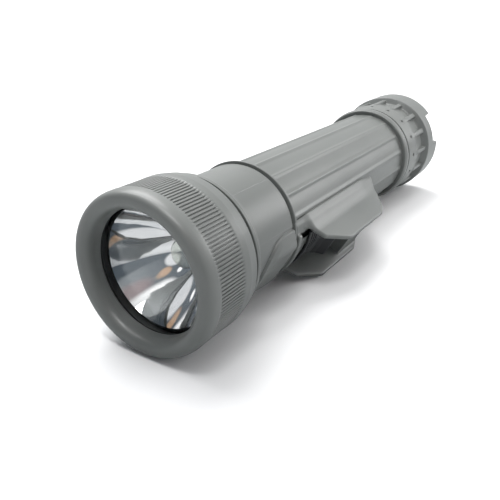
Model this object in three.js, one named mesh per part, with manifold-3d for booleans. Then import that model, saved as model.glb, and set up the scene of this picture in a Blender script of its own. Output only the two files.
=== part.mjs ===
// Two-cell firefighter flashlight with a guarded side switch. Millimetres, +Z up.
// The optical axis is the Y axis: the lens faces -Y and the tail cap's flat end face stands
// at y = 0, with the origin at its centre. The switch points SWITCH_ROLL degrees below +X,
// so that the light rests on its head ring, its tail ring and the lower guard wing.

import * as THREE from 'three';
import { mergeVertices } from 'three/addons/utils/BufferGeometryUtils.js';
import Module from 'manifold-3d';

const wasm = await Module();
wasm.setup();

// ---- driving dimensions -------------------------------------------------------------------
const LENGTH = 216; // head face to tail face
const SWITCH_ROLL = 30;
const GAP = 0.3; // clearance between neighbouring pieces

const HEAD_R = 27;
const HEAD_LENGTH = 25.4;
const HEAD_REAR_R = 26.2; // the ring tapers to this at its rear edge
const GROOVE_START = 5.4;
const GROOVE_END = 18;
const GROOVED_R = 26.75;
const BEZEL_CREST_R = 23.4;
const BEZEL_LIP_R = 20.7;
const BEZEL_DEPTH = 4.2;
const LIP_END = 6.2; // inner face of the lip, where the gasket sits
const HEAD_BORE_R = 24;

const NECK_START = 10.9;
const NECK_R = 23.6;
const RIM_START = 27.5; // raised rim of the collar behind the head ring
const RIM_END = 29.2;
const RIM_R = 25.1;
const COLLAR_R = 22;
const COLLAR_END = 55.3;
const TUBE_R = 21.3;
const TUBE_BORE_R = 17.6;
const TUBE_END = 169.7;
const FLANGE_R = 23.3;
const FLANGE_END = 174;
const SPIGOT_R = 20.4;
const SPIGOT_END = 190;

const RAMP_START = 36.7;
const RAMP_TOP = 23.1;
const RAMP_HALF_WIDTH = 12.6;

const HOUSING_START = 59;
const HOUSING_HALF_ANGLE = 41;
const HOUSING_R = 21.9;
const HOUSING_BORE_R = 21.6;
const WING_OUTER = 11.8; // distance of the wings' outer faces from the switch's mid plane
const WING_INNER = 9.8;
const WING_TOP = 32.6; // distance of the wings' outer edges from the axis
const BRIDGE_START = 98;
const BRIDGE_TOP = 29.8;
const WELL_START = 60.5;
const WALL_TOP = 20.4; // the well's side walls ahead of the wings
const SEAT_X = 18.9; // flat seat cut in the tube below the switch
const FLOOR_BACK = 20.4; // underside of the housing's floor below the slide
const FLOOR_R = 21.9;

const CAP_START = FLANGE_END + GAP;
const CAP_R = 23.3;
const CAP_RING_R = 25.5;
const CAP_BORE_R = 20.8;
const CAP_WAIST_START = 184.5; // the waist slopes down from here to the rear ring
const CAP_WAIST_END = 199;
const CAP_WAIST_R = 22.2;
const CAP_FLOOR = 208.1;
const CAP_RIBS = 16;
const CAP_LUGS = 3; // the rear rim is notched between them
const NOTCH_START = 207.6;
const NOTCH_ANGLE = 36;

const LENS_SEAT = 7.2;
const LENS_THICKNESS = 1.8;
const LENS_R = 23.7;
const MIRROR_START = 9.3;
const MIRROR_R = 20.3;
const FOCAL_LENGTH = 5.2;
const BULB_HOLE_R = 5.9;
const BULB_FLANGE = 30.5;
const SPARE_FLANGE = 198;

const CELL_R = 17.1;
const CELL_LENGTH = 61.3;
const CELL_START = 60;

const SLIDE_START = 67.4;
const SLIDE_END = 86;
const SLIDE_TRAVEL = 5;
const STEM = { start: 73, end: 77.4, width: 5.4 };
const BUTTON = { start: 88, end: 95.6, width: 10, foot: 21.9, top: 25.6 };

const ROUND = 48; // facets of the outer shells
const PLAIN = 32; // facets of the round pieces inside
const SMALL = 16; // facets of a small one

// ---- geometry helpers ---------------------------------------------------------------------

// Station s is measured from the head's front plane towards the tail.
const station = (s) => s - LENGTH;
const radians = THREE.MathUtils.degToRad;

// One closed body: shared vertices merged, empty triangles dropped, faces pointing out.
function solid(geometry) {
  geometry.deleteAttribute('normal');
  geometry.deleteAttribute('uv');
  const merged = mergeVertices(geometry, 1e-4);
  const index = merged.index.array;
  const corner = [0, 1, 2].map(() => new THREE.Vector3());
  const kept = [];
  let volume = 0;
  for (let i = 0; i < index.length; i += 3) {
    const [a, b, c] = [index[i], index[i + 1], index[i + 2]];
    if (a === b || b === c || c === a) continue;
    kept.push(a, b, c);
    [a, b, c].forEach((v, k) => corner[k].fromBufferAttribute(merged.attributes.position, v));
    volume += corner[0].dot(corner[1].clone().cross(corner[2]));
  }
  if (volume < 0) {
    for (let i = 0; i < kept.length; i += 3) [kept[i], kept[i + 1]] = [kept[i + 1], kept[i]];
  }
  merged.setIndex(kept);
  return merged;
}

// Turned about the Y axis from [station, radius] points; a ring closes on itself.
function turned(points, facets = ROUND) {
  const onAxis = points[0][1] === 0;
  const outline = onAxis ? points : [...points, points[0]];
  const profile = outline.map(([s, r]) => new THREE.Vector2(r, station(s)));
  return solid(new THREE.LatheGeometry(profile, facets));
}

// A flat shape in the X-Y plane, [x, station] points, given a width along Z about z = 0.
function sidePlate(points, width) {
  const shape = new THREE.Shape(points.map(([x, s]) => new THREE.Vector2(x, station(s))));
  const geometry = new THREE.ExtrudeGeometry(shape, { depth: width, bevelEnabled: false });
  return solid(geometry.translate(0, 0, -width / 2));
}

// A cross-section in the X-Z plane, [x, z] points, run along the axis between two stations.
function alongAxis(points, start, end) {
  const shape = new THREE.Shape(points.map(([x, z]) => new THREE.Vector2(x, z)));
  const geometry = new THREE.ExtrudeGeometry(shape, { depth: end - start, bevelEnabled: false });
  return solid(geometry.rotateX(Math.PI / 2).translate(0, station(end), 0));
}

// A box from x0 to x1, between two stations, centred on z.
function block(x0, x1, start, end, width, z = 0) {
  const geometry = new THREE.BoxGeometry(x1 - x0, end - start, width);
  return solid(geometry.translate((x0 + x1) / 2, station((start + end) / 2), z));
}

// A round wire that follows a curve.
function wire(curve, radius, steps) {
  const circle = new THREE.Shape();
  circle.absarc(0, 0, radius, 0, Math.PI * 2);
  const options = { steps, extrudePath: curve, curveSegments: 2, bevelEnabled: false };
  return solid(new THREE.ExtrudeGeometry(circle, options));
}

function toManifold(geometry) {
  const vertProperties = new Float32Array(geometry.attributes.position.array);
  const triVerts = new Uint32Array(geometry.index.array);
  return new wasm.Manifold(new wasm.Mesh({ numProp: 3, vertProperties, triVerts }));
}

function fromManifold(manifold) {
  const mesh = manifold.getMesh();
  const geometry = new THREE.BufferGeometry();
  geometry.setAttribute('position', new THREE.BufferAttribute(mesh.vertProperties, 3));
  geometry.setIndex(new THREE.BufferAttribute(mesh.triVerts, 1));
  return geometry;
}

const join = (...pieces) => fromManifold(pieces.map(toManifold).reduce((a, b) => a.add(b)));
const cut = (base, ...tools) =>
  fromManifold(tools.reduce((rest, tool) => rest.subtract(toManifold(tool)), toManifold(base)));
const common = (a, b) => fromManifold(toManifold(a).intersect(toManifold(b)));

// ---- materials ----------------------------------------------------------------------------
const finish = (color, roughness, metalness = 0, extra = {}) =>
  new THREE.MeshStandardMaterial({ color, roughness, metalness, ...extra });

const HOUSING_PLASTIC = () => finish(0x8c918d, 0.45);
const BLACK_PLASTIC = () => finish(0x17181b, 0.5);
const BLACK_RUBBER = () => finish(0x101112, 0.85);
const MIRROR = () => finish(0xf2f3f5, 0.03, 1);
const CLEAR = () => finish(0xf4f8f8, 0.02, 0, { transparent: true, opacity: 0.25 });
const BRASS = () => finish(0xb89a4e, 0.35, 1);
const STEEL = () => finish(0xb4b7ba, 0.3, 1);
const CELL_JACKET = () => finish(0x3b4046, 0.4, 0.3);

const light = new THREE.Group();
light.rotation.y = radians(SWITCH_ROLL);

function place(name, geometry, material) {
  const mesh = new THREE.Mesh(geometry, material);
  mesh.name = name;
  light.add(mesh);
}

// ---- head ---------------------------------------------------------------------------------

// Bezel ring: a rounded nose that funnels in to the lip over the lens, a long threaded bore.
function headRing() {
  const nose = [];
  const steps = 5;
  for (let i = 0; i <= steps; i += 1) {
    const t = (i / steps) * (Math.PI / 2);
    const r = BEZEL_CREST_R + (HEAD_R - BEZEL_CREST_R) * Math.sin(t);
    nose.push([BEZEL_DEPTH * (1 - Math.cos(t)), r]);
  }
  return turned([
    [BEZEL_DEPTH, BEZEL_LIP_R],
    [BEZEL_DEPTH * 0.4, BEZEL_LIP_R + 0.9],
    ...nose,
    [GROOVE_START, HEAD_R],
    [GROOVE_START + 0.3, GROOVED_R],
    [GROOVE_END - 0.3, GROOVED_R],
    [GROOVE_END, HEAD_R],
    [HEAD_LENGTH - 4.6, HEAD_R],
    [HEAD_LENGTH - 0.4, HEAD_REAR_R],
    [HEAD_LENGTH, HEAD_REAR_R - 0.4],
    [HEAD_LENGTH, HEAD_BORE_R],
    [LIP_END, HEAD_BORE_R],
    [LIP_END, BEZEL_LIP_R],
  ]);
}

function lensGasket() {
  const front = LIP_END + GAP;
  const back = LENS_SEAT - GAP;
  const outline = [[front, BEZEL_LIP_R], [front, LENS_R], [back, LENS_R], [back, BEZEL_LIP_R]];
  return turned(outline, PLAIN);
}

function lens() {
  const back = LENS_SEAT + LENS_THICKNESS;
  return turned([[LENS_SEAT, 0], [LENS_SEAT, LENS_R - 0.3], [LENS_SEAT + 0.3, LENS_R],
    [back, LENS_R], [back, 0]], PLAIN);
}

// Parabolic bowl with its focus at the bulb's filament, a flat rim and a rear neck.
function reflector() {
  const apex = MIRROR_START + MIRROR_R ** 2 / (4 * FOCAL_LENGTH);
  const wall = 1.1;
  const neckR = 8.6;
  const rim = NECK_START - GAP;
  const bowl = [];
  const steps = 6;
  for (let i = 0; i <= steps; i += 1) {
    const r = BULB_HOLE_R + ((MIRROR_R - BULB_HOLE_R) * i) / steps;
    bowl.push([apex - r ** 2 / (4 * FOCAL_LENGTH), r]);
  }
  const shell = bowl
    .map(([s, r]) => [s + wall, r + wall * 0.45])
    .filter(([s, r]) => r > neckR + 0.5 && s > rim + 0.5)
    .reverse();
  return turned([
    [BULB_FLANGE - GAP, BULB_HOLE_R],
    ...bowl,
    [MIRROR_START, LENS_R],
    [rim, LENS_R],
    [rim, MIRROR_R + 0.6],
    ...shell,
    [shell.at(-1)[0] + 0.6, neckR],
    [BULB_FLANGE - GAP, neckR],
  ], PLAIN);
}

// Flanged bulb. Its glass points to the front when facing is -1 and to the rear when it is 1.
function bulbBase(flange, facing) {
  const at = (distance) => flange - facing * distance;
  return turned([[at(-0.8), 0], [at(-0.8), 3.1], [at(0), 3.1], [at(0), 6.75], [at(0.8), 6.75],
    [at(0.8), 4.65], [at(8.2), 4.65], [at(8.8), 3.6], [at(8.8), 1.8], [at(9.6), 1.5],
    [at(9.6), 0]], SMALL);
}

function bulbGlass(flange, facing) {
  const at = (distance) => flange + facing * distance;
  const outer = [[0.3, 4.6], [2.2, 4.4], [4.2, 5.2], [6.4, 5.5], [8.8, 4.9], [10.6, 3.0]];
  const inner = [[10.1, 2.6], [8.4, 4.2], [6.4, 4.8], [4.3, 4.5], [2.2, 3.8], [0.3, 3.9]];
  const points = [[11.3, 0], ...outer.toReversed(), ...inner.toReversed(), [10.7, 0]];
  return turned(points.map(([distance, r]) => [at(distance), r]), SMALL);
}

function bulbFilament(flange, facing) {
  const at = (distance) => station(flange + facing * distance);
  const lead = 1.6;
  const points = [[-lead, 1.1], [-lead, 4.5], [-1.3, 6.3], [-0.5, 6.9], [0.5, 6.9], [1.3, 6.3],
    [lead, 4.5], [lead, 1.1]].map(([x, distance]) => new THREE.Vector3(x, at(distance), 0));
  return wire(new THREE.CatmullRomCurve3(points), 0.2, 14);
}

function bulbHolder() {
  const front = BULB_FLANGE - 4;
  const back = BULB_FLANGE + 2.6;
  return turned([[front, 8.9], [front, 10.6], [back, 10.6], [back, 4.95],
    [BULB_FLANGE + 1.1, 4.95], [BULB_FLANGE + 1.1, 7.1], [BULB_FLANGE - 0.2, 7.1],
    [BULB_FLANGE - 0.2, 8.9]], SMALL);
}

function oRing(s, radius, thickness) {
  const geometry = new THREE.TorusGeometry(radius, thickness, 6, PLAIN);
  return solid(geometry.rotateX(Math.PI / 2).translate(0, station(s), 0));
}

// ---- body ---------------------------------------------------------------------------------
const HEAD_SEAL = { s: 21.5, radius: 22.9, thickness: 0.75 };
const TAIL_SEAL = { s: 177, radius: 19.8, thickness: 0.65 };

// Neck, collar, lip, battery tube, flange and spigot in one turned outline.
function bodyOutline() {
  const groove = ({ s, radius, thickness }, surface) => {
    const half = thickness + GAP;
    const floor = radius - thickness - GAP;
    return [[s - half, surface], [s - half, floor], [s + half, floor], [s + half, surface]];
  };
  return turned([
    [NECK_START, 21.2],
    [NECK_START, NECK_R],
    ...groove(HEAD_SEAL, NECK_R),
    [RIM_START, NECK_R],
    [RIM_START, RIM_R - 0.3],
    [RIM_START + 0.3, RIM_R],
    [RIM_END, RIM_R],
    [RIM_END + 0.8, RIM_R - 0.7],
    [RIM_END + 2.8, COLLAR_R + 0.4],
    [RIM_END + 4, COLLAR_R],
    [COLLAR_END, COLLAR_R],
    [COLLAR_END, 21.1],
    [56.2, 21.1],
    [56.3, 22.7],
    [57.2, 22.7],
    [58.2, TUBE_R],
    [TUBE_END, TUBE_R],
    [TUBE_END + 0.4, 22.4],
    [FLANGE_END, FLANGE_R],
    [FLANGE_END, SPIGOT_R],
    ...groove(TAIL_SEAL, SPIGOT_R),
    [SPIGOT_END, SPIGOT_R],
    [SPIGOT_END, TUBE_BORE_R],
    [44, TUBE_BORE_R],
    [26, 19.5],
    [20, 19.5],
    [17, 21.2],
  ]);
}

// Raised thumb ramp on the collar: rounded front, full width at the rear, soft shoulders.
function thumbRamp() {
  const half = RAMP_HALF_WIDTH;
  const plan = new THREE.Shape();
  plan.moveTo(station(COLLAR_END), -half);
  plan.lineTo(station(COLLAR_END), half);
  plan.lineTo(station(RAMP_START + half), half);
  plan.absarc(station(RAMP_START + half), 0, half, Math.PI / 2, (3 * Math.PI) / 2);
  const options = { depth: 8, bevelEnabled: false, curveSegments: 10 };
  const tongue = new THREE.ExtrudeGeometry(plan, options).applyMatrix4(
    new THREE.Matrix4().makeBasis(
      new THREE.Vector3(0, 1, 0), new THREE.Vector3(0, 0, 1), new THREE.Vector3(1, 0, 0)));
  const section = alongAxis([[20, -half], [21, -half], [RAMP_TOP - 0.8, -half + 2.2],
    [RAMP_TOP, -half + 5], [RAMP_TOP, half - 5], [RAMP_TOP - 0.8, half - 2.2], [21, half],
    [20, half]], RAMP_START - 1, COLLAR_END);
  const fall = sidePlate([[17, RAMP_START - 1], [21.6, RAMP_START - 0.5],
    [RAMP_TOP - 0.5, RAMP_START + 4], [RAMP_TOP, RAMP_START + 8], [RAMP_TOP, COLLAR_END],
    [17, COLLAR_END]], 40);
  const raised = common(common(solid(tongue.translate(18, 0, 0)), section), fall);
  const inside = turned([[30, 0], [30, 20.6], [60, 20.6], [60, 0]]);
  return cut(raised, inside);
}

const SEAT_START = 60.3;
const SEAT_END = 108;
const STRIP_WIDTH = 5;
const CHANNEL_WIDTH = 6.4;

// The tube is cut flat below the switch, with a channel in its bore for the contact strips.
function bodyShell() {
  const seat = block(SEAT_X, 30, SEAT_START, SEAT_END, 2 * WING_INNER);
  const frontChannel = block(15, SEAT_X + 0.1, 30, SEAT_START + 3, CHANNEL_WIDTH);
  const rearChannel = block(15, SEAT_X + 0.1, SEAT_END - 4, SPIGOT_END + 1, CHANNEL_WIDTH);
  return cut(join(bodyOutline(), thumbRamp()), seat, frontChannel, rearChannel);
}

// ---- switch -------------------------------------------------------------------------------

// Guard: a saddle on the tube, two wings, a front lip and the bridge behind the button.
function switchHousing() {
  const spread = radians(HOUSING_HALF_ANGLE);
  const section = [];
  const arcSteps = 3;
  for (let i = 0; i <= arcSteps; i += 1) {
    const angle = spread - (i / arcSteps) * (spread - Math.asin((WING_OUTER + 0.8) / HOUSING_R));
    section.push([HOUSING_R * Math.cos(angle), HOUSING_R * Math.sin(angle)]);
  }
  section.push([20.2, WING_OUTER], [WING_TOP, WING_OUTER]);
  const mirrored = section.toReversed().map(([x, z]) => [x, -z]);
  const foot = [[14.5, -14.37], [14.5, 14.37]];
  const saddle = alongAxis([...section, ...mirrored, ...foot], HOUSING_START, 127);
  const guard = sidePlate([[13, HOUSING_START], [RAMP_TOP, HOUSING_START],
    [RAMP_TOP, WELL_START], [WALL_TOP, WELL_START], [WALL_TOP, 67.4], [26.3, 69],
    [WING_TOP - 0.4, 79.6], [WING_TOP, 80.6], [WING_TOP, 112.2], [WING_TOP - 0.5, 113.2],
    [30.5, 116.6], [25.2, 121.8], [19.6, 126], [16.4, 126.6], [13, 113.4]], 40);
  const bore = turned([[40, 0], [40, HOUSING_BORE_R], [140, HOUSING_BORE_R], [140, 0]]);
  const well = block(10, 40, WELL_START, BRIDGE_START, 2 * WING_INNER);
  const lipTop = block(RAMP_TOP, 40, HOUSING_START - 1, WELL_START + 1, 2 * WING_INNER);
  const bridgeTop = block(BRIDGE_TOP, 40, BRIDGE_START - 1, 130, 2 * WING_INNER);
  const frame = cut(common(saddle, guard), bore, well, lipTop, bridgeTop);
  const crown = turned([[50, 0], [50, FLOOR_R], [120, FLOOR_R], [120, 0]]);
  const floor = block(FLOOR_BACK, 30, WELL_START - 0.2, BRIDGE_START + 1, 2 * WING_INNER + 0.4);
  const stemSlot = block(10, 30, STEM.start - SLIDE_TRAVEL - GAP, STEM.end + GAP,
    STEM.width + 2 * GAP);
  const buttonHole = block(10, 30, BUTTON.start - GAP, BUTTON.end + GAP, BUTTON.width + 2 * GAP);
  return cut(join(frame, common(floor, crown)), stemSlot, buttonHole);
}

// Thumb slide: a crowned plate with two cross slots and a thumb rise at its rear.
function switchSlide() {
  const plateWidth = 18.4;
  const riseWidth = 9.4;
  const topR = 23.1;
  const rib = (s) => [[topR, s - 0.5], [topR - 0.6, s - 0.3], [topR - 0.6, s + 0.3],
    [topR, s + 0.5]];
  const plate = sidePlate([[14, SLIDE_START], [topR - 0.5, SLIDE_START],
    [topR, SLIDE_START + 0.5], ...rib(69.4), ...rib(73.4), [topR, SLIDE_END],
    [14, SLIDE_END]], plateWidth);
  const crown = turned([[60, FLOOR_R + GAP], [60, topR], [90, topR], [90, FLOOR_R + GAP]]);
  const rise = sidePlate([[22.2, 74.6], [22.8, 74.8], [23.3, 77], [24.8, 79.6], [27.3, 82.2],
    [27.5, 83.2], [27.0, 84.4], [24.4, 85.3], [22.6, 85.7]], riseWidth);
  const stem = block(FLOOR_BACK, 22.4, STEM.start, STEM.end, STEM.width);
  return join(common(plate, crown), rise, stem);
}

function signalButton() {
  const { start, end, width, foot, top } = BUTTON;
  const corner = 2.4;
  const plan = new THREE.Shape();
  const [y0, y1, z1] = [station(start), station(end), width / 2];
  plan.absarc(y1 - corner, z1 - corner, corner, 0, Math.PI / 2);
  plan.absarc(y0 + corner, z1 - corner, corner, Math.PI / 2, Math.PI);
  plan.absarc(y0 + corner, -z1 + corner, corner, Math.PI, 1.5 * Math.PI);
  plan.absarc(y1 - corner, -z1 + corner, corner, 1.5 * Math.PI, 2 * Math.PI);
  const options = { depth: top - foot, bevelEnabled: false, curveSegments: 3 };
  const pad = new THREE.ExtrudeGeometry(plan, options).applyMatrix4(
    new THREE.Matrix4().makeBasis(
      new THREE.Vector3(0, 1, 0), new THREE.Vector3(0, 0, 1), new THREE.Vector3(1, 0, 0)));
  return solid(pad.translate(foot, 0, 0));
}

// ---- contacts and cells -------------------------------------------------------------------

const SHEET = 0.3;

// Sheet strip along [x, station] points. Its other face lies one sheet nearer the axis, and a
// third value moves that face's corner along the axis, so that a bend keeps its thickness.
function strip(points) {
  const back = points.toReversed().map(([x, s, shift = 0]) => [x - SHEET, s + shift]);
  return sidePlate([...points.map(([x, s]) => [x, s]), ...back], STRIP_WIDTH);
}

const STRIP_TOP = SEAT_X + 2 * GAP;
const frontStrip = () => strip([[STRIP_TOP, 68.6], [STRIP_TOP, 61.6, SHEET],
  [18.3, 61.6, SHEET], [18.3, 32.2, SHEET], [11.2, 32.2, SHEET]]);
const rearStrip = () => strip([[STRIP_TOP, 74.2], [STRIP_TOP, 105.4, -SHEET],
  [18.3, 105.4, -SHEET], [18.3, 188]]);
const slideContact = () => block(STRIP_TOP + GAP, FLOOR_BACK - GAP, 71, 83, 8);
const signalLeaf = () => block(STRIP_TOP + GAP, FLOOR_BACK - GAP, 87.2, 96.4, 7);

function bulkhead() {
  return turned([[46, 2.5], [46, 17.2], [49, 17.2], [49, 2.5]], PLAIN);
}

function centreContact() {
  return turned([[40.9, 0], [40.9, 4], [42, 4], [42, 2.2], [58.6, 2.2], [58.6, 5],
    [59.6, 5], [59.6, 0]], SMALL);
}

// Coil spring along the axis from one station to another.
function coil(start, end, startRadius, endRadius, turns, thickness) {
  const points = [];
  const perTurn = 9;
  for (let i = 0; i <= turns * perTurn; i += 1) {
    const t = i / (turns * perTurn);
    const angle = t * turns * 2 * Math.PI;
    const r = startRadius + (endRadius - startRadius) * t;
    points.push(new THREE.Vector3(
      r * Math.cos(angle), station(start + (end - start) * t), r * Math.sin(angle)));
  }
  return wire(new THREE.CatmullRomCurve3(points), thickness, turns * perTurn);
}

function cell(start) {
  const end = start + CELL_LENGTH;
  return turned([[start, 0], [start, 4.6], [start + 1.5, 4.75], [start + 1.5, CELL_R - 0.8],
    [start + 2.3, CELL_R], [end - 0.8, CELL_R], [end, CELL_R - 0.8], [end, 0]], PLAIN);
}

// ---- tail ---------------------------------------------------------------------------------

// A sector of the rear rim, centred on +X, that is cut away between two lugs.
function rimNotch() {
  const half = radians(NOTCH_ANGLE / 2);
  const steps = 3;
  const floor = [];
  for (let i = 0; i <= steps; i += 1) {
    const angle = half * ((2 * i) / steps - 1);
    floor.push([22 * Math.cos(angle), 22 * Math.sin(angle)]);
  }
  const outside = [[30 * Math.cos(half), 30 * Math.sin(half)],
    [30 * Math.cos(half), -30 * Math.sin(half)]];
  return alongAxis([...floor, ...outside], NOTCH_START, LENGTH + 1);
}

// Cap: front band, waist bridged by ribs, wide rear ring with lugs around the end face.
function tailCap() {
  const shell = turned([
    [CAP_START, CAP_BORE_R],
    [CAP_START, CAP_R - 0.5],
    [CAP_START + 0.5, CAP_R],
    [CAP_WAIST_START, CAP_R + 0.3],
    [CAP_WAIST_END - 1.2, CAP_WAIST_R],
    [CAP_WAIST_END - 0.8, CAP_WAIST_R],
    [CAP_WAIST_END, CAP_RING_R - 0.3],
    [CAP_WAIST_END + 1, CAP_RING_R],
    [LENGTH - 2, CAP_RING_R],
    [LENGTH, CAP_RING_R - 1.2],
    [LENGTH, 0],
    [CAP_FLOOR, 0],
    [CAP_FLOOR, 18.6],
    [192, 18.6],
    [191, CAP_BORE_R],
  ]);
  const ribs = [];
  for (let i = 0; i < CAP_RIBS; i += 1) {
    const rib = block(CAP_BORE_R + 0.6, CAP_R + 0.9, CAP_WAIST_START - 0.5, CAP_WAIST_END + 0.5, 2.6);
    ribs.push(solid(rib.rotateY(-radians(12 + (i * 360) / CAP_RIBS))));
  }
  const notches = [];
  for (let i = 0; i < CAP_LUGS; i += 1) {
    const notch = rimNotch();
    notches.push(solid(notch.rotateY(-radians(54 + (i * 360) / CAP_LUGS))));
  }
  return cut(join(shell, ...ribs), ...notches);
}

function tailContact() {
  const front = CAP_FLOOR - GAP - 0.8;
  const back = CAP_FLOOR - GAP;
  return turned([[front, 9.2], [front, 15.5], [back, 15.5], [back, 9.2]], PLAIN);
}

// ---- assembly -----------------------------------------------------------------------------
place('head_ring', headRing(), HOUSING_PLASTIC());
place('lens_gasket', lensGasket(), BLACK_RUBBER());
place('lens', lens(), CLEAR());
place('reflector', reflector(), MIRROR());
place('bulb_glass', bulbGlass(BULB_FLANGE, -1), CLEAR());
place('bulb_base', bulbBase(BULB_FLANGE, -1), BRASS());
place('bulb_filament', bulbFilament(BULB_FLANGE, -1), STEEL());
place('bulb_holder', bulbHolder(), BLACK_PLASTIC());
place('head_seal', oRing(HEAD_SEAL.s, HEAD_SEAL.radius, HEAD_SEAL.thickness), BLACK_RUBBER());

place('body_shell', bodyShell(), HOUSING_PLASTIC());
place('bulkhead', bulkhead(), BLACK_PLASTIC());
place('centre_contact', centreContact(), BRASS());
place('contact_spring', coil(42.6, 45.4, 3.4, 3.4, 2, 0.3), STEEL());
place('front_strip', frontStrip(), BRASS());
place('rear_strip', rearStrip(), BRASS());
place('battery_front', cell(CELL_START), CELL_JACKET());
place('battery_rear', cell(CELL_START + CELL_LENGTH + GAP), CELL_JACKET());

place('switch_housing', switchHousing(), HOUSING_PLASTIC());
place('switch_slide', switchSlide(), BLACK_PLASTIC());
place('slide_contact', slideContact(), BRASS());
place('signal_button', signalButton(), BLACK_PLASTIC());
place('signal_leaf', signalLeaf(), BRASS());

place('tail_cap', tailCap(), HOUSING_PLASTIC());
place('tail_seal', oRing(TAIL_SEAL.s, TAIL_SEAL.radius, TAIL_SEAL.thickness), BLACK_RUBBER());
place('tail_spring', coil(184, 206.2, 7, 13.5, 5, 0.6), STEEL());
place('tail_contact', tailContact(), BRASS());
place('spare_holder', turned([[200, 5], [200, 8.4], [207.8, 8.4], [207.8, 5]], SMALL),
  BLACK_RUBBER());
place('spare_base', bulbBase(SPARE_FLANGE, -1), BRASS());
place('spare_glass', bulbGlass(SPARE_FLANGE, -1), CLEAR());

export default light;
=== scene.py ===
"""Firefighter flashlight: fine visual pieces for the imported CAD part, their materials and a studio.

Lengths are in millimetres until `place` turns them into the frame's metres. A point is given as
(x, s, z): s runs along the axis from the head's front plane towards the tail, x points out through
the thumb switch and z across it.
"""
import math

import bpy
import numpy as np
from mathutils import Matrix, Vector


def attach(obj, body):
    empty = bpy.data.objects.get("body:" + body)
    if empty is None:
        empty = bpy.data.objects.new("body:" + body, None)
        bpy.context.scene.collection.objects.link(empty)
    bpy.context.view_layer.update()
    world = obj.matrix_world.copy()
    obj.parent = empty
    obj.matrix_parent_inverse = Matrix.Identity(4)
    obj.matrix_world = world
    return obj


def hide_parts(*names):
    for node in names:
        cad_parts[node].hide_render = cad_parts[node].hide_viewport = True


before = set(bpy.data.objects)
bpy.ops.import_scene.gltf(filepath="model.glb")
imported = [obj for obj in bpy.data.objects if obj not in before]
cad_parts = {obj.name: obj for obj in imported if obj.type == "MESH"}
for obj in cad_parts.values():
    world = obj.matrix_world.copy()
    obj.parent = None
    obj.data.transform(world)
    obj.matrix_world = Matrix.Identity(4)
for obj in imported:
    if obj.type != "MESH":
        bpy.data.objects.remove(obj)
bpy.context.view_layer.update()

# ---- dimensions ----------------------------------------------------------------------------
LENGTH = 216.0
ROLL = math.radians(30)  # the switch points this far below the frame's +X
HEAD_R = 27.0
HEAD_LENGTH = 25.4
HEAD_REAR_R = 26.2
LIP_END = 6.2
BEZEL_LIP_R = 20.7
BEZEL_DEPTH = 4.2
CREST_R = 24.2
GROOVES = 144
GROOVE_START, GROOVE_END = 5.4, 18.0
HEAD_BORE_R = 24.0
LENS_SEAT, LENS_R, LENS_THICKNESS = 7.2, 23.7, 1.8
MIRROR_START, MIRROR_R, FOCAL_LENGTH, BULB_HOLE_R = 9.3, 20.3, 5.2, 5.9
BULB_FLANGE = 30.5
NECK_START, NECK_R, NECK_BORE_R = 10.9, 23.6, 21.2
RIM_START, RIM_R, RIM_END = 27.6, 25.1, 29.2
COLLAR_START, COLLAR_R, COLLAR_END = 34.0, 22.0, 55.3
LEDGE_R, LEDGE_END = 22.75, 57.2  # raised band between the collar and the tube
TUBE_R, TUBE_BORE_R, TUBE_END = 21.3, 17.6, 169.7
INNER_R = 20.2  # every radius above this is on the outside of the body
PARTING_ANGLES = (89.5, -90.5)
HEAD_SEAL_AT, TAIL_SEAL_AT = 21.5, 177.0
FLUTES, FLUTE_DEPTH = 16, 0.38
FLANGE_END, SPIGOT_R, SPIGOT_END = 174.0, 20.4, 190.0
HOUSING_START, HOUSING_END = 59.0, 127.0
SEAM_ANGLE, SEAM_END = 41.5, 113.4
WING_OUTER, WING_INNER, WING_TOP = 11.8, 9.8, 32.6
FRONT_LIP_R, FRONT_LIP_HALF = 23.3, 10.5
BUTTON_MIDDLE, BUTTON_HALF_LENGTH, BUTTON_HALF_WIDTH, BUTTON_CORNER = 91.8, 3.8, 5.0, 2.4
BUTTON_TOP = 25.5
BRIDGE_START, BRIDGE_TOP = 98.0, 29.8
WELL_START, SEAT_X, FLOOR_BACK, FLOOR_R = 60.5, 18.9, 20.4, 21.9
CAP_START, CAP_R, CAP_RING_R, CAP_BORE_R, CAP_WAIST_R = 174.3, 23.3, 25.5, 20.8, 22.2
CAP_FLOOR, CAP_STEP_R, CAP_END_R = 208.1, 18.6, 19.0
WAIST_START, WAIST_END, RING_START = 184.8, 197.2, 199.3
CAP_RIBS, RIB_PHASE = 16, 12.0
NOTCHES, NOTCH_PHASE, NOTCH_HALF_ANGLE, NOTCH_START, NOTCH_R = 3, 54.0, 18.0, 207.6, 22.0
DOT_AT = 180.8
CELL_LENGTH, FRONT_CELL_START, REAR_CELL_START, CELL_R = 61.3, 60.0, 121.6, 17.1
SPARE_FLANGE = 198.0


# ---- meshes --------------------------------------------------------------------------------
def place(points):
    """(x, s, z) in millimetres to the frame's metres."""
    p = np.asarray(points, float)
    x, s, z = p[:, 0], p[:, 1], p[:, 2]
    c, n = math.cos(ROLL), math.sin(ROLL)
    return np.stack([x * c + z * n, s - LENGTH, z * c - x * n], 1) / 1000


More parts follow.
